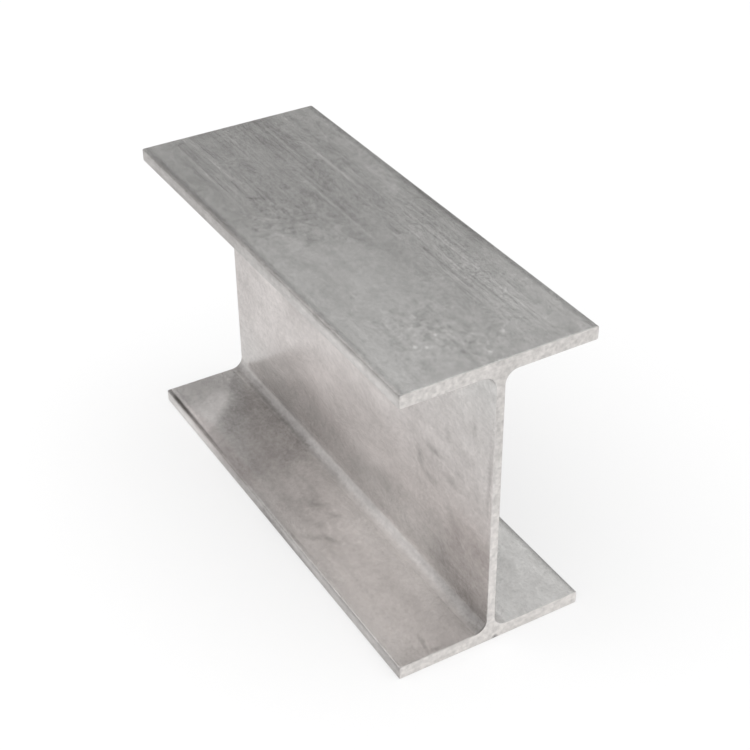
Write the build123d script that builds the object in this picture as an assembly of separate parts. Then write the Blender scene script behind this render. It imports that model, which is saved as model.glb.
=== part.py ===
from build123d import *
import os

# Stainless steel H-beam: a short sawn length of parallel-flange section, rolled in one piece.
# Frame: origin at the middle of the lower flange's underside, X across the flanges,
# Y along the beam, Z up the web. Millimetres.

# Driving dimensions
LENGTH = 320.0            # from one sawn end to the other
DEPTH = 200.0             # outside of the lower flange to outside of the upper flange
FLANGE_WIDTH = 125.0
FLANGE_THICKNESS = 9.0
WEB_THICKNESS = 6.0
ROOT_RADIUS = 8.0         # fillet where the web runs into a flange
TOE_RADIUS = 1.2          # rounding of the flange edges left by the rolls
DEBURR = 0.4              # bevel filed round each sawn end

NODE = "h_beam"
ON_PLANE = 1e-6           # how near a corner has to lie to a plane to count as on it


def corners_at(outline, half_width):
    """The corners of the section that lie at half_width on either side of the web's middle."""
    return [v for v in outline.vertices() if abs(abs(v.X) - half_width) < ON_PLANE]


def section():
    """The rolled section, standing on the X axis: two flanges, the web and their radii."""
    flange = Rectangle(FLANGE_WIDTH, FLANGE_THICKNESS)
    web = Rectangle(WEB_THICKNESS, DEPTH - 2 * FLANGE_THICKNESS)
    lower_flange = Pos(0, FLANGE_THICKNESS / 2) * flange
    upper_flange = Pos(0, DEPTH - FLANGE_THICKNESS / 2) * flange
    outline = lower_flange + Pos(0, DEPTH / 2) * web + upper_flange
    outline = fillet(corners_at(outline, WEB_THICKNESS / 2), ROOT_RADIUS)
    return fillet(corners_at(outline, FLANGE_WIDTH / 2), TOE_RADIUS)


def beam():
    """The section run along Y, sawn square at both ends, with the saw burr filed off."""
    bar = extrude(Plane.XZ * section(), LENGTH / 2, both=True)
    ends = bar.faces().sort_by(Axis.Y)
    return chamfer(ends[0].edges() + ends[-1].edges(), DEBURR)


os.makedirs("parts", exist_ok=True)
export_step(beam(), os.path.join("parts", NODE + ".step"))
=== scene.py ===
import math

import bmesh
import bpy
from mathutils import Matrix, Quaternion, Vector, noise


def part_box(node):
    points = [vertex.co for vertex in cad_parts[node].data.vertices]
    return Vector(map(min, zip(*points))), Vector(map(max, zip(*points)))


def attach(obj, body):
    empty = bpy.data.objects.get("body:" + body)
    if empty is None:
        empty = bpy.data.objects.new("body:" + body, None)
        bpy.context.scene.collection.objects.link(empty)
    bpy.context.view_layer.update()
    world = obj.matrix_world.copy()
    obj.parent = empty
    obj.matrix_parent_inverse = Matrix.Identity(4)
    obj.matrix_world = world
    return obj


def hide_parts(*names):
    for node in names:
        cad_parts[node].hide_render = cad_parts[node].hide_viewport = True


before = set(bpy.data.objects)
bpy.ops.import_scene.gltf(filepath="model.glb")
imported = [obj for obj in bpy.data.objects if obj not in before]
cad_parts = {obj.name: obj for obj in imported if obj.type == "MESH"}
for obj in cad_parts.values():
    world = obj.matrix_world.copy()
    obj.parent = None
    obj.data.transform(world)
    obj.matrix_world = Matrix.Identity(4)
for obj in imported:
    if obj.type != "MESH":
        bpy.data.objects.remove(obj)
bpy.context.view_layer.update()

mm = 0.001
squareOn = 0.999         # a face looks straight along an axis from this share of its normal
welded = 1e-6            # metres, points this close become one
onPlane = 1e-7           # metres, points this close to a cut lie on it
noiseMiddle = 0.5        # what a noise texture gives on average


def hexColour(code):
    # sRGB hex to the linear colour that Blender's sockets take
    channels = [int(code[i:i + 2], 16) / 255 for i in (1, 3, 5)]
    return [c / 12.92 if c <= 0.04045 else ((c + 0.055) / 1.055) ** 2.4 for c in channels] + [1.0]


def addNode(tree, kind, settings=None, inputs=None):
    # one node, with its settings, and each input either linked or set
    node = tree.nodes.new("ShaderNode" + kind)
    for name, value in (settings or {}).items():
        setattr(node, name, value)
    for socket, value in (inputs or {}).items():
        if isinstance(value, bpy.types.NodeSocket):
            tree.links.new(value, node.inputs[socket])
        else:
            node.inputs[socket].default_value = value
    return node


def eased(tree, value, low, high):
    # 0 at low, 1 at high, and smooth between
    return addNode(tree, "MapRange", {"interpolation_type": "SMOOTHSTEP"}, {
        "Value": value, "From Min": low, "From Max": high,
    }).outputs[0]


def mixedColour(tree, share, first, second, **settings):
    # the mix node takes colours at inputs 6 and 7, and gives one at output 2
    return addNode(tree, "Mix", {"data_type": "RGBA", **settings}, {
        "Factor": share, 6: first, 7: second,
    }).outputs[2]


def addedUp(tree, start, parts):
    # start plus each value times its strength
    for value, strength in parts:
        start = addNode(tree, "Math", {"operation": "MULTIPLY_ADD"}, {
            0: value, 1: strength, 2: start,
        }).outputs[0]
    return start


def newMaterial(name):
    material = bpy.data.materials.new(name)
    material.use_nodes = True
    material.node_tree.nodes.clear()
    return material, material.node_tree


def linked(name, data):
    thing = bpy.data.objects.new(name, data)
    bpy.context.scene.collection.objects.link(thing)
    return thing


def meshPiece(name, bm):
    mesh = bpy.data.meshes.new(name)
    bm.to_mesh(mesh)
    bm.free()
    return linked(name, mesh)


# the beam: a rolled section, sawn to length, all sizes in millimetres
beam = {
    "flangeThick": 9.0,
    "webThick": 6.0,
    "rootRadius": 8.0,
    "toeRadius": 1.2,
    "deburr": 0.4,
    "rootSteps": 10,
    "toeSteps": 4,
    "deburrSteps": 2,
    "rimRing": 2.0,          # times the deburr, how far behind a filed rim its finish ends
    "cell": 2.5,             # mesh spacing, fine enough for the shallow waves below
    "edgeCell": 1.0,         # closer spacing beside the flange edges
    "edgeReach": 6.0,        # how far in from its edges a flange rolls off
    "edgeDrop": 0.20,
    "waveDepth": 0.10,       # slow waves that the rolls leave
    "waveWide": 36.0,
    "waveLong": 95.0,
    "lineDepth": 0.03,       # rolling lines that run the whole length
    "lineWide": 9.0,
    "lineLong": 600.0,
    "lineShift": 31.0,       # keeps the lines apart from the waves
    "nickAt": (3.3, -160.0, 0.0),    # knock in the near end's lower edge
    "nickReach": 3.0,
    "nickDepth": 1.5,
    "nickPush": (0.0, 0.6, 1.0),     # inwards and up
}


def sectionQuarter(bm, size):
    # from the web's middle out to one flange toe, with the mirror planes through the origin
    halfWidth, halfDepth = size.x / 2, size.z / 2
    halfWeb = beam["webThick"] * mm / 2
    flangeTop = beam["flangeThick"] * mm - halfDepth
    outline = [
        (0, -halfDepth), (halfWidth, -halfDepth), (halfWidth, flangeTop),
        (halfWeb, flangeTop), (halfWeb, 0), (0, 0),
    ]
    corners = [bm.verts.new((x, 0, z)) for x, z in outline]
    bm.faces.new(corners)
    for rounded, radius, steps in (
        (corners[1:3], beam["toeRadius"], beam["toeSteps"]),
        (corners[3:4], beam["rootRadius"], beam["rootSteps"]),
    ):
        bmesh.ops.bevel(
            bm, geom=rounded, offset=radius * mm, offset_type="OFFSET", segments=steps,
            profile=0.5, affect="VERTICES", clamp_overlap=False, material=-1,
        )


def everything(bm):
    return bm.verts[:] + bm.edges[:] + bm.faces[:]


def isEnd(face):
    return abs(face.normal.y) > squareOn


def cutAcross(bm, faces, axis, low, high, cell):
    # evenly spaced cuts over flat faces, square to one axis
    count = math.ceil((high - low) / (cell * mm))
    for i in range(count + 1):
        geom = {part for face in faces(bm) for part in (face, *face.edges, *face.verts)}
        bmesh.ops.bisect_plane(
            bm, geom=list(geom), dist=onPlane,
            plane_co=axis * (low + (high - low) * i / count), plane_no=axis,
        )


def flangeFlats(bm):
    return [f for f in bm.faces if abs(f.normal.z) > squareOn]


def webFlats(bm):
    reach = beam["rootRadius"] * mm
    return [f for f in bm.faces if abs(f.normal.x) > squareOn and abs(f.calc_center_median().x) < reach]


def makeBeam():
    lowest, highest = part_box("h_beam")
    size = highest - lowest
    bm = bmesh.new()
    sectionQuarter(bm, size)
    for axis in ("X", "Z"):
        bmesh.ops.mirror(bm, geom=everything(bm), axis=axis, merge_dist=welded)
    grown = bmesh.ops.extrude_face_region(bm, geom=bm.faces[:])["geom"]
    bmesh.ops.translate(
        bm, vec=(0, size.y, 0), verts=[v for v in grown if isinstance(v, bmesh.types.BMVert)]
    )
    bmesh.ops.translate(
        bm, vec=(0, lowest.y, lowest.z + size.z / 2), verts=bm.verts[:]
    )
    bmesh.ops.recalc_face_normals(bm, faces=bm.faces[:])
    rim = [e for e in bm.edges if [isEnd(f) for f in e.link_faces].count(True) == 1]
    bmesh.ops.bevel(
        bm, geom=rim, offset=beam["deburr"] * mm, offset_type="OFFSET", segments=beam["deburrSteps"],
        profile=0.5, affect="EDGES", clamp_overlap=False, material=-1,
    )
    bm.normal_update()
    # flats of the flanges and the web get cells that the waves can bend
    toe, root = beam["toeRadius"] * mm, beam["rootRadius"] * mm
    flange, edge = beam["flangeThick"] * mm, beam["edgeReach"] * mm
    left, right = lowest.x + toe, highest.x - toe
    sideways, upward = Vector((1, 0, 0)), Vector((0, 0, 1))
    cutAcross(bm, flangeFlats, sideways, left, left + edge, beam["edgeCell"])
    cutAcross(bm, flangeFlats, sideways, left + edge, right - edge, beam["cell"])
    cutAcross(bm, flangeFlats, sideways, right - edge, right, beam["edgeCell"])
    cutAcross(bm, webFlats, upward, lowest.z + flange + root, highest.z - flange - root, beam["cell"])
    lengthwise = [e for e in bm.edges if abs(e.verts[0].co.y - e.verts[1].co.y) > size.y / 2]
    bmesh.ops.subdivide_edges(
        bm, edges=lengthwise, cuts=math.ceil(size.y / (beam["cell"] * mm)) - 1, use_grid_fill=True
    )
    # a ring close behind each filed rim keeps its finish from spreading
    ring = beam["rimRing"] * beam["deburr"] * mm
    for y in (lowest.y + ring, highest.y - ring):
        bmesh.ops.bisect_plane(
            bm, geom=everything(bm), dist=onPlane, plane_co=(0, y, 0), plane_no=(0, 1, 0)
        )
    bm.normal_update()
    # the rolled skin is the first material, and the sawn ends the second
    for face in bm.faces:
        face.material_index = 1 if isEnd(face) else 0
        face.smooth = not isEnd(face)
    markBends(bm)
    rollSurface(bm, highest.x)
    piece = meshPiece("rolledBeam", bm)
    print("beam:", len(piece.data.polygons), "faces")
    return piece


# how the finish reads the bends
bends = {
    "filletGain": 3.0,       # how soon a fillet counts in full
    "filletLeast": 0.2,      # what the fillet's web side keeps
    "rimGain": 1.4,          # how soon an upward rim counts in full
    "rimSlack": 1.1,         # times the deburr, so that the whole rim is in
}


def markBends(bm):
    # how far a point is on a root fillet or a filed rim, for the finish to read
    fillet = bm.verts.layers.float.new("rootFillet")
    rim = bm.verts.layers.float.new("rim")
    reach = (beam["webThick"] / 2 + beam["rootRadius"]) * mm
    filed = max(v.co.y for v in bm.verts) - beam["deburr"] * mm * bends["rimSlack"]
    for v in bm.verts:
        if abs(v.co.x) < reach:
            # strongest on the flange's side of the bend, and fades out before the flats
            lying = max(0.0, v.normal.z ** 2 - v.normal.x ** 2)
            bent = min(1.0, bends["filletGain"] * abs(v.normal.x * v.normal.z))
            v[fillet] = bent * (bends["filletLeast"] + lying)
        if abs(v.co.y) > filed:
            # only rims that face up count, as these carry the painted shade over their glints
            v[rim] = min(1.0, bends["rimGain"] * max(0.0, v.normal.z))


def asShare(value):
    # from between -1 and 1 to between 0 and 1
    return 0.5 + 0.5 * value


def rollSurface(bm, halfWidth):
    # shallow waves, lines and rolled-off edges, always into the metal, so the beam keeps its size
    bm.normal_update()
    edge = beam["edgeReach"] + beam["toeRadius"]
    for v in bm.verts:
        x, y, z = v.co / mm
        wave = noise.noise((x / beam["waveWide"], y / beam["waveLong"], z / beam["waveWide"]))
        line = noise.noise((
            x / beam["lineWide"] + beam["lineShift"], y / beam["lineLong"], z / beam["lineWide"],
        ))
        depth = beam["waveDepth"] * asShare(wave) + beam["lineDepth"] * asShare(line)
        inside = halfWidth / mm - abs(x)
        depth += beam["edgeDrop"] * max(0.0, 1 - inside / edge) ** 2 * v.normal.z ** 2
        v.co -= v.normal * depth * mm
    knock = Vector(beam["nickAt"]) * mm
    for v in bm.verts:
        near = max(0.0, 1 - (v.co - knock).length / (beam["nickReach"] * mm))
        v.co += Vector(beam["nickPush"]) * near * beam["nickDepth"] * mm


# the rolled skin's finish, sizes in millimetres and strengths as shares of the two colours
skin = {
    "dull": "#9C9A98",           # heavy oxide film
    "clean": "#F4F3F1",          # bare pickled metal
    "rosy": "#F3E7E6",           # faint heat tint, laid over the rest
    "level": 0.54,
    "darkestDirtAndShade": -0.35,             # as dark as the deepest dirt and painted shade get, below the dull colour
    "burnished": 0.20,           # roughness of the lands that the rolls polished
    "etched": 0.60,              # roughness of the pits that the acid left
    "etchGrain": 0.12,
    "etchDetail": 0.0,
    "etchShare": (0.42, 0.58),   # where the grain turns from land to pit
    "sideDull": -0.22,           # flange sides keep a duller film
    "sideFull": 0.2,             # how far in from the side its film is full
    # painted shade on the root fillets, which dims their highlight
    "filletShade": -0.14,
    "filletRough": 0.40,         # the rolls polish the root fillets less
    # painted shade on the upward filed rims, which dims their glints
    "rimShade": -0.22,
    "rimRough": 0.20,            # filed, so coarser
    "zoneEdge": 0.45,            # share of a zone over which it fades out
    "limitEdge": 0.09,           # the same, for zones with a sharp limit
    "wobble": 5.0,               # how far marks wander
    "wobbleSize": 9.0,
    "wobbleDetail": 2.0,
    "lineRelief": 0.006,
    "lineStrength": 0.10,        # rolling lines outside the scuffs
    "scuffGrain": 0.45,          # share of grain in the scuffs
}
# what the rolls and the acid leave: width across, length along, detail, strength
patterns = {
    "rollingBands": (7.0, 220.0, 2.0, 0.18),
    "pickleClouds": (12.0, 20.0, 3.0, 0.36),
    "pickleMottle": (3.2, 4.2, 2.0, 0.38),
    "pickleGrain": (1.2, 1.6, 1.0, 0.25),
    "broadFilm": (60.0, 90.0, 2.0, 0.14),
}
# the fine rolling lines: width across, length along, detail
rollingLines = (1.3, 90.0, 2.0)
# how far apart the patterns are drawn from the same noise
seedStep = 10
# where the rolling lines show most: middle, half sizes, added strength
scuffs = [
    ((12, 110, 200), (75, 130, 12), 0.75),
    ((32, -60, 200), (24, 110, 12), 1.05),
    ((-32, 100, 200), (24, 80, 12), 0.60),
    ((-28, -105, 200), (70, 75, 12), 0.35),
    ((48, -30, 200), (24, 170, 12), 0.40),
]
# where the mottle shows most, as flecks: middle, half sizes, added strength
flecks = [
    ((-30, 20, 200), (32, 42, 10), 0.80),
    ((-18, -112, 200), (26, 32, 10), 0.80),
    ((2, -140, 200), (26, 24, 10), 0.60),
]
# broad films, and painted light and shade, with flat middles: middle, half sizes, turn in degrees,
# strength (minus is darker)
zones = [
    # top: lighter at the near left, darker at the far end
    ((-52, -70, 200), (62, 130, 20), (0, 0, 0), 0.09),
    ((46, -140, 200), (32, 60, 20), (0, 0, 0), 0.07),
    ((0, 95, 200), (62, 120, 20), (0, 0, 0), -0.12),
    ((48, 105, 200), (30, 95, 20), (0, 0, 0), 0.07),
    # web: lighter at mid height, with painted shade by the lower fillet and at the near end that deepens
    # the web's dark reflection of the lower flange
    ((-3, -5, 80), (10, 105, 46), (0, 0, 0), 0.20),
    ((-3, 0, 62), (10, 70, 26), (0, 0, 0), 0.07),
    ((-3, 64, 106), (10, 34, 26), (0, 0, 0), -0.10),
    ((-3, -160, 34), (12, 85, 50), (0, 0, 0), -0.28),
    ((-3, -85, 28), (10, 115, 30), (0, 0, 0), -0.06),
    ((-3, 105, 80), (10, 40, 65), (0, 0, 0), 0.07),
    ((-3, 150, 100), (10, 40, 50), (0, 0, 0), -0.06),
    # lower flange: painted light in front and painted shade behind up to a slanting limit, where the web's
    # shadow and dark reflection fall
    ((-38, -88, 9), (70, 88, 14), (0, 0, 0), 0.23),
    ((-14, -55, 9), (22, 90, 10), (0, 0, 0), 0.14),
    ((-60, -70, 9), (16, 110, 8), (0, 0, 0), 0.10),
    ((-12, 90, 9), (100, 42, 12), (0, 0, 47.8), -0.21),
    ((-28.8, 114.4, 9), (44, 9, 8), (0, 0, 48.5), -0.04),
    ((-41, 125, 9), (20, 11, 8), (0, 0, 48.5), 0.08),
    ((44, -100, 9), (60, 130, 10), (0, 0, 0), 0.04),
]
# the same, with a sharp edge: painted light on the far left corner of the lower flange, up to where the
# web's shade begins
limits = [
    ((-80, 158, 9), (100, 60, 3), (0, 0, 48.5), 0.26),
]
# films, and painted light and shade, that fade evenly from their middle: middle, half sizes, strength
# (minus is darker)
evenFilms = [
    # lower flange beside the far part of the fillet, along the far end and in front: painted shade where
    # the web and top flange darken the flange's reflection, and painted light in front
    ((-8, 115, 9), (42, 135, 12), -0.26),
    ((-42, 160, 9), (40, 32, 6), -0.30),
    ((-31, 147, 9), (18, 20, 5), -0.14),
    ((-57, 143, 9), (18, 26, 5), -0.38),
    ((-54, 35, 9), (14, 50, 5), -0.08),
    ((-17, -20, 9), (14, 30, 5), 0.06),
    ((-17, -142, 9), (14, 36, 5), 0.08),
    # flange edges, with painted shade on the toe radii that dims their reflections
    ((-60, 50, 200), (3.6, 430, 6), -0.36),
    ((60.2, 10, 200), (3.2, 430, 6), -0.30),
    ((-61.1, 127, 9), (2.1, 64, 4), -1.25),
    ((-58.4, 134, 9), (1.4, 36, 4), 0.30),
    ((-60.5, 20, 9), (3.0, 90, 4), -0.18),
    ((-62.4, -110, 8.4), (1.8, 110, 3), -0.45),
    ((-60.6, -110, 9), (1.6, 70, 3), 0.22),
    ((60.5, -100, 9), (2.6, 120, 4), -0.24),
    ((-62.4, -120, 199.4), (1.8, 110, 3), -0.30),
    ((57, -105, 200), (9, 75, 6), 0.13),
    ((57.5, 105, 200), (5, 80, 6), 0.06),
    ((-53, 80, 200), (10, 100, 6), -0.06),
    ((-57, -55, 200), (9, 45, 6), 0.07),
    ((-56, -105, 9), (26, 60, 6), 0.15),
    ((54, -85, 9), (14, 70, 6), 0.22),
    # bright rolling lines on the top, with a duller strip between
    ((16, 60, 200), (13, 32, 5), -0.08),
    ((31, 80, 200), (1.6, 85, 4), 0.24),
    ((6.3, 50, 200), (1.6, 85, 4), 0.24),
    ((-42.5, 108, 200), (1.6, 70, 4), 0.22),
    # flange sides
    ((-62.5, 75, 196.3), (3, 120, 3), 0.08),
    ((-62.5, 90, 195), (3, 160, 14), -0.14),
    ((-62.5, -5, 195), (3, 50, 14), -0.07),
    ((-62.5, 110, 193.5), (3, 90, 3), -0.13),
    ((-62.5, 60, 199.3), (3, 200, 1.6), 0.10),
    ((-62.5, -130, 195), (3, 70, 10), 0.06),
    ((-62.5, 0, 4.5), (3, 90, 10), -0.22),
    ((-62.5, -85, 4.5), (3, 120, 10), -0.31),
    ((-62.5, 132, 4.5), (3, 70, 10), 0.38),
    ((-62.5, -10, 1.5), (3, 180, 4), -0.14),
    ((-62.5, -10, 7.5), (3, 180, 2.5), 0.12),
    # root fillets, and the web just above the left one: painted highlight and shade that shape the
    # fillets' reflections, and painted light over the dark reflection at the near right root
    ((-5, 85, 15), (6, 100, 9), 0.14),
    ((-5, -95, 12.5), (4.5, 165, 6.5), -0.24),
    ((-3, 70, 17), (4, 100, 3.5), 0.14),
    ((-3, -115, 25.5), (6, 60, 7), -0.13),
    ((-3, -135, 24), (6, 70, 22), -0.06),
    ((6, -150, 13), (8, 70, 9), 0.35),
    # elsewhere on the web
    ((-3, -95, 160), (6, 45, 34), 0.15),
    ((-3, -45, 38), (6, 50, 16), -0.06),
    ((-3, 100, 104), (6, 26, 22), 0.07),
]
# handling marks and stains: middle, half sizes, turn in degrees, strength (minus is darker)
marks = [
    ((-45, 18, 200), (1.0, 17, 3), (0, 0, -24), -0.30),
    ((-22, 31, 200), (1.2, 12, 3), (0, 0, 3), -0.22),
    ((-25, -1, 200), (4, 5, 3), (0, 0, 0), -0.20),
    ((-27, 60, 200), (16, 2.2, 3), (0, 0, -38), -0.20),
    ((22, -16, 200), (4, 9, 3), (0, 0, 10), -0.22),
    ((7, -34, 200), (1.8, 2.6, 3), (0, 0, 0), -0.20),
    ((25, -72, 200), (1.2, 20, 3), (0, 0, 6), -0.22),
    ((29, -80, 200), (1.0, 26, 3), (0, 0, 2), -0.20),
    ((55, -47, 200), (5, 26, 3), (0, 0, 0), -0.18),
    ((-38, 153, 200), (3, 3, 3), (0, 0, 0), -0.26),
    ((52, 133, 200), (3, 3, 3), (0, 0, 0), -0.26),
    ((-32, -127, 200), (2.0, 2.2, 3), (0, 0, 0), 0.70),
    ((-27, -130, 200), (1.7, 1.9, 3), (0, 0, 0), 0.45),
    ((-16, -122, 200), (1.8, 2.4, 3), (0, 0, 0), 0.50),
    ((-1, -151, 200), (2.2, 2.0, 3), (0, 0, 0), 0.45),
    ((16, -138, 200), (2.0, 3.0, 3), (0, 0, 0), 0.45),
    ((-3, -86, 89), (6, 5, 12), (-20, 0, 0), -0.34),
    ((-3, -101, 103), (6, 13, 3.6), (0, 0, 0), -0.32),
    ((-3, -96, 80.5), (6, 13, 6), (5, 0, 0), -0.24),
    ((-3, -118, 93), (6, 11, 6), (0, 0, 0), -0.24),
    ((-3, -128, 102), (6, 6, 5), (0, 0, 0), -0.18),
    ((-3, -141, 145), (6, 4, 8), (-10, 0, 0), -0.22),
    ((-3, -115, 125), (6, 5, 8), (0, 0, 0), -0.16),
    ((-3, -145, 104), (6, 5, 9), (0, 0, 0), -0.16),
    ((-3, -157, 120), (6, 2.6, 36), (3, 0, 0), -0.24),
    ((-3, -120, 68), (6, 5, 22), (-35, 0, 0), -0.14),
    ((-34.5, -6, 9), (7, 13, 3), (0, 0, 44), -0.30),
    ((-28, -23, 9), (3, 8, 3), (0, 0, 36), -0.34),
    ((-40, -26, 9), (5, 8, 3), (0, 0, 0), -0.28),
    ((-50, -36, 9), (4, 11, 3), (0, 0, 45), -0.32),
    ((-41, -43, 9), (3.6, 9, 3), (0, 0, 25), -0.30),
    ((-28, -53.5, 9), (6, 1.6, 3), (0, 0, -18), 0.26),
    ((-60, -32, 9), (1.3, 16, 3), (0, 0, 0), -0.30),
    ((-40.5, -151, 9), (2.0, 11, 3), (0, 0, -5), -0.36),
    ((-36, -158, 9), (6, 2.2, 3), (0, 0, 0), -0.45),
]
# faint heat tints with flat middles: middle, half sizes, strength
tints = [
    ((-34, 0, 60), (60, 500, 150), 0.26),
    ((-3, 0, 110), (9, 500, 85), 0.16),
    ((-3, -140, 45), (5, 34, 40), 0.14),
    ((-3, 40, 34), (5, 60, 24), 0.10),
    ((-59, 80, 9), (9, 70, 6), 0.24),
    ((-62.5, 0, 195), (4, 260, 10), 0.20),
]


def rolledPattern(tree, place, wide, long, detail, seed):
    # clouds drawn out along the rolling, with sizes in millimetres
    scale = [1 / (size * mm) for size in (wide, long, wide)]
    mapped = addNode(tree, "Mapping", inputs={"Vector": place, "Location": (seed,) * 3, "Scale": scale})
    grain = addNode(tree, "TexNoise", inputs={"Vector": mapped.outputs[0], "Scale": 1.0, "Detail": detail})
    return grain.outputs["Fac"]


def softSpot(tree, place, middle, halfSizes, turn=(0, 0, 0)):
    # an oval that is strongest in its middle
    mapped = addNode(tree, "Mapping", {"vector_type": "TEXTURE"}, {
        "Vector": place, "Location": Vector(middle) * mm, "Scale": Vector(halfSizes) * mm,
        "Rotation": [math.radians(a) for a in turn],
    })
    oval = addNode(tree, "TexGradient", {"gradient_type": "SPHERICAL"}, {0: mapped.outputs[0]})
    return oval.outputs["Fac"]


def softSpots(tree, place, spots):
    # each oval with its strength, which comes last in its row
    return [(softSpot(tree, place, *spot[:-1]), spot[-1]) for spot in spots]


def flatSpots(tree, place, edge, spots):
    # the same with flat middles, each fading out smoothly over its edge
    return [(eased(tree, spot, 0.0, edge), strength) for spot, strength in softSpots(tree, place, spots)]


def wanderingPlace(tree, place):
    # marks drift from their outlines as hand marks do
    drift = addNode(tree, "TexNoise", inputs={
        "Vector": place, "Scale": 1 / (skin["wobbleSize"] * mm), "Detail": skin["wobbleDetail"],
    })
    evened = addNode(tree, "VectorMath", {"operation": "SUBTRACT"}, {
        0: drift.outputs["Color"], 1: (noiseMiddle,) * 3,
    })
    step = addNode(tree, "VectorMath", {"operation": "MULTIPLY_ADD"}, {
        0: evened.outputs[0], 1: (skin["wobble"] * mm,) * 3, 2: place,
    })
    return step.outputs[0]


def rolledStainless():
    # hot-rolled and pickled stainless: satin grey, drawn out along the rolling, with a hazy sheen
    material, tree = newMaterial("pickledStainlessSteel")
    place = addNode(tree, "TexCoord").outputs["Object"]
    drawn = {
        name: rolledPattern(tree, place, *values[:-1], seedStep * i)
        for i, (name, values) in enumerate(patterns.items())
    }
    wander = wanderingPlace(tree, place)
    across = addNode(tree, "SeparateXYZ", inputs={0: place}).outputs["X"]
    fromMiddle = addNode(tree, "Math", {"operation": "ABSOLUTE"}, {0: across}).outputs[0]
    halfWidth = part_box("h_beam")[1].x
    side = eased(
        tree, fromMiddle, halfWidth - beam["toeRadius"] * mm, halfWidth - skin["sideFull"] * mm
    )
    lines = rolledPattern(tree, place, *rollingLines, seedStep * len(patterns))
    rubbed = addedUp(tree, -(1 + skin["scuffGrain"]) * noiseMiddle, [
        (lines, 1.0), (drawn["pickleGrain"], skin["scuffGrain"]),
    ])
    scuffed = addedUp(tree, skin["lineStrength"], softSpots(tree, place, scuffs))
    mottle = addedUp(tree, -noiseMiddle, [(drawn["pickleMottle"], 1.0)])
    flecked = addedUp(tree, 0.0, softSpots(tree, place, flecks))
    parts = [(drawn[name], values[-1]) for name, values in patterns.items()]
    parts += [(rubbed, scuffed), (mottle, flecked)]
    # the zones carry painted light and shade on the web and lower flange, besides films
    parts += flatSpots(tree, wander, skin["zoneEdge"], zones)
    # painted light on the lower flange's far left corner, with a sharp edge
    parts += flatSpots(tree, place, skin["limitEdge"], limits)
    # the even films include painted shade on the lower flange, toes and fillets, and painted light at the
    # near right root
    parts += softSpots(tree, place, evenFilms)
    parts += softSpots(tree, wander, marks)
    fillet, rim = (
        addNode(tree, "Attribute", {"attribute_name": name}).outputs["Fac"]
        for name in ("rootFillet", "rim")
    )
    # painted shade on the fillets and the upward rims dims their highlights
    parts += [(side, skin["sideDull"]), (fillet, skin["filletShade"]), (rim, skin["rimShade"])]
    balance = skin["level"] - sum(values[-1] for values in patterns.values()) * noiseMiddle
    tone = addedUp(tree, balance, parts)
    tone = addNode(tree, "Clamp", inputs={"Value": tone, "Min": skin["darkestDirtAndShade"], "Max": 1.0}).outputs[0]
    colour = mixedColour(
        tree, tone, hexColour(skin["dull"]), hexColour(skin["clean"]), clamp_factor=False
    )
    rosy = addedUp(tree, 0.0, flatSpots(tree, wander, skin["zoneEdge"], tints))
    colour = mixedColour(tree, rosy, colour, hexColour(skin["rosy"]), blend_type="MULTIPLY")
    grain = addNode(tree, "TexNoise", inputs={
        "Vector": place, "Scale": 1 / (skin["etchGrain"] * mm), "Detail": skin["etchDetail"],
    }).outputs["Fac"]
    roughness = addNode(tree, "MapRange", inputs={
        "Value": grain, "From Min": skin["etchShare"][0], "From Max": skin["etchShare"][1],
        "To Min": skin["burnished"], "To Max": skin["etched"],
    }).outputs[0]
    roughness = addedUp(tree, roughness, [(fillet, skin["filletRough"]), (rim, skin["rimRough"])])
    bump = addNode(tree, "Bump", inputs={"Height": lines, "Distance": skin["lineRelief"] * mm})
    shader = addNode(tree, "BsdfPrincipled", inputs={
        "Base Color": colour, "Metallic": 1.0, "Roughness": roughness, "Normal": bump.outputs[0],
    })
    addNode(tree, "OutputMaterial", inputs={"Surface": shader.outputs[0]})
    print("rolled finish:", len(zones), "zones,", len(marks), "marks,", len(tree.nodes), "nodes")
    return material


# the sawn ends' finish, sizes in millimetres
sawn = {
    "dull": "#6E6D6B",
    "clean": "#EEEAE7",
    "level": 0.766,
    "roughness": 0.48,
    "lineWide": 1.1,
    "lineLong": 40.0,
    "lineStrength": 0.08,
    "speckSize": 2.6,            # coarser than the real grit, so that it shows
    "speckDetail": 4.0,
    "speckStrength": 0.75,
    "relief": 0.04,
}
# films on the sawn ends: middle, half sizes, strength (minus is duller)
sawnFilms = [
    ((0, -160, 150), (90, 30, 90), -0.06),
    ((0, -160, 20), (110, 30, 80), 0.05),
    ((-8, -160, 196), (40, 10, 14), 0.06),
    ((50, -160, 196), (20, 10, 14), -0.05),
    ((52, -160, 5), (20, 10, 10), 0.06),
    ((0, -160, 196), (70, 10, 10), -0.04),
    ((0, -160, 70), (8, 30, 50), 0.06),
    ((0, -160, 165), (8, 30, 50), -0.06),
    # darker in the nick
    ((3.3, -160, 1.0), (2.8, 4, 2.4), -0.7),
]


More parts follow.
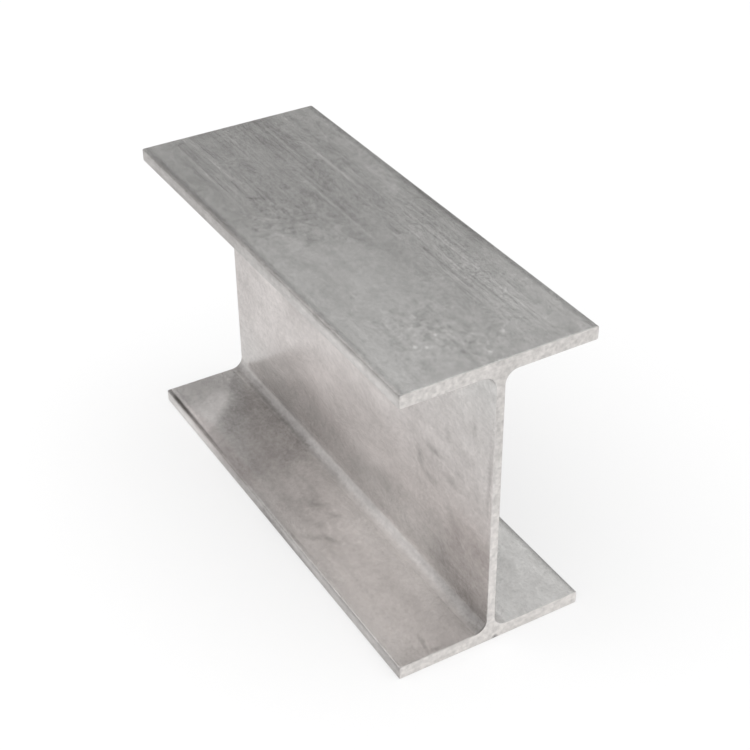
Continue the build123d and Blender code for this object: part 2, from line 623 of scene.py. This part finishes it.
def sawnStainless():
    # freshly sawn stainless: bright, with fine torn grit and faint blade lines
    material, tree = newMaterial("sawnStainlessSteel")
    place = addNode(tree, "TexCoord").outputs["Object"]
    scale = [1 / (size * mm) for size in (sawn["lineLong"], sawn["lineLong"], sawn["lineWide"])]
    mapped = addNode(tree, "Mapping", inputs={"Vector": place, "Scale": scale})
    lines = addNode(tree, "TexNoise", inputs={"Vector": mapped.outputs[0], "Scale": 1.0}).outputs["Fac"]
    specks = addNode(tree, "TexNoise", inputs={
        "Vector": place, "Scale": 1 / (sawn["speckSize"] * mm), "Detail": sawn["speckDetail"],
    }).outputs["Fac"]
    parts = [(lines, sawn["lineStrength"]), (specks, sawn["speckStrength"])]
    parts += softSpots(tree, place, sawnFilms)
    balance = sawn["level"] - (sawn["lineStrength"] + sawn["speckStrength"]) * noiseMiddle
    tone = addedUp(tree, balance, parts)
    colour = mixedColour(tree, tone, hexColour(sawn["dull"]), hexColour(sawn["clean"]))
    bump = addNode(tree, "Bump", inputs={"Height": tone, "Distance": sawn["relief"] * mm})
    shader = addNode(tree, "BsdfPrincipled", inputs={
        "Base Color": colour, "Metallic": 1.0, "Roughness": sawn["roughness"], "Normal": bump.outputs[0],
    })
    addNode(tree, "OutputMaterial", inputs={"Surface": shader.outputs[0]})
    return material


# the light and the ground
studio = {
    "white": "#FFFFFF",
    "floorReach": 30.0,          # metres
    "floorColour": "#F2F2F2",
    "floorGlow": 0.5,            # share of the floor's white that comes from its own glow
    "room": 0.145,               # light from all round
    # soft glows in the room: degrees round from +X, degrees up, start and end of the fade, strength
    "glows": {
        "overhead": (0, 90, 0.50, 0.78, 0.96),
        "horizon": (0, 90, 0.30, 0.0, 0.45),
        "frontRight": (300, 45, 0.2, 0.95, 0.60),
        "left": (180, 20, 0.2, 0.95, 0.58),
    },
    # one softbox: degrees round from +X, degrees up, metres away, metres wide, watts
    "softbox": (160, 50, 0.7, 0.4, 0.3),
    "softboxTarget": (0.0, -0.05, 0.08),
}


def towards(turn, lift):
    turn, lift = math.radians(turn), math.radians(lift)
    return Vector((math.cos(turn) * math.cos(lift), math.sin(turn) * math.cos(lift), math.sin(lift)))


def makeFloor():
    # white paper: a seamless bright ground that takes a soft shadow
    bm = bmesh.new()
    bmesh.ops.create_grid(bm, x_segments=1, y_segments=1, size=studio["floorReach"])
    floor = meshPiece("floor", bm)
    material, tree = newMaterial("whitePaper")
    path = addNode(tree, "LightPath")
    seen = addNode(tree, "Math", {"operation": "MAXIMUM"}, {
        0: path.outputs["Is Camera Ray"], 1: path.outputs["Is Glossy Ray"],
    })
    seen = addNode(tree, "Math", {"operation": "MAXIMUM"}, {
        0: seen.outputs[0], 1: path.outputs["Is Transmission Ray"],
    })
    share = addNode(tree, "Math", {"operation": "MULTIPLY"}, {0: seen.outputs[0], 1: studio["floorGlow"]})
    paper = addNode(tree, "BsdfDiffuse", inputs={"Color": hexColour(studio["floorColour"])})
    glow = addNode(tree, "Emission", inputs={"Color": hexColour(studio["white"]), "Strength": 1.0})
    mix = addNode(tree, "MixShader", inputs={0: share.outputs[0], 1: paper.outputs[0], 2: glow.outputs[0]})
    addNode(tree, "OutputMaterial", inputs={"Surface": mix.outputs[0]})
    floor.data.materials.append(material)


def makeWorld():
    world = bpy.data.worlds.new("studio")
    bpy.context.scene.world = world
    world.use_nodes = True
    tree = world.node_tree
    tree.nodes.clear()
    direction = addNode(tree, "TexCoord").outputs["Generated"]
    fades = []
    for turn, lift, start, end, strength in studio["glows"].values():
        facing = addNode(tree, "VectorMath", {"operation": "DOT_PRODUCT"}, {
            0: direction, 1: towards(turn, lift),
        })
        fades.append((eased(tree, facing.outputs["Value"], start, end), strength))
    level = addedUp(tree, studio["room"], fades)
    background = addNode(tree, "Background", inputs={
        "Color": hexColour(studio["white"]), "Strength": level,
    })
    addNode(tree, "OutputWorld", inputs={"Surface": background.outputs[0]})
    print("room light:", ", ".join(studio["glows"]))


def makeSoftbox():
    turn, lift, far, wide, watts = studio["softbox"]
    data = bpy.data.lights.new("softbox", "AREA")
    data.shape = "SQUARE"
    data.size = wide
    data.energy = watts
    lamp = linked("softbox", data)
    away = towards(turn, lift)
    lamp.location = Vector(studio["softboxTarget"]) + away * far
    lamp.rotation_mode = "QUATERNION"
    lamp.rotation_quaternion = away.to_track_quat("Z", "Y")


# the camera, fitted to the beam's edges
photoView = {
    "azimuth": -30.07,           # degrees
    "elevation": 34.90,
    "roll": -0.66,
    "distance": 0.99325,         # metres
    "target": (0.0165, 0.0, 0.0889),
    "lens": 75.24,               # mm
    "sensor": 36.0,              # mm
    "nearest": 0.01,             # metres
}


def makeCamera():
    data = bpy.data.cameras.new("photoView")
    data.lens = photoView["lens"]
    data.sensor_width = photoView["sensor"]
    data.clip_start = photoView["nearest"]
    camera = linked("photoView", data)
    turn, lift = math.radians(photoView["azimuth"]), math.radians(photoView["elevation"])
    back = Vector((math.sin(turn) * math.cos(lift), -math.cos(turn) * math.cos(lift), math.sin(lift)))
    camera.location = Vector(photoView["target"]) + back * photoView["distance"]
    camera.rotation_mode = "QUATERNION"
    roll = Quaternion((0, 0, 1), math.radians(photoView["roll"]))
    camera.rotation_quaternion = (-back).to_track_quat("-Z", "Y") @ roll
    bpy.context.scene.camera = camera


beamPiece = makeBeam()
beamPiece.data.materials.append(rolledStainless())
beamPiece.data.materials.append(sawnStainless())
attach(beamPiece, "root")
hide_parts("h_beam")

makeFloor()
makeWorld()
makeSoftbox()
makeCamera()
bpy.context.scene.view_settings.view_transform = "Standard"
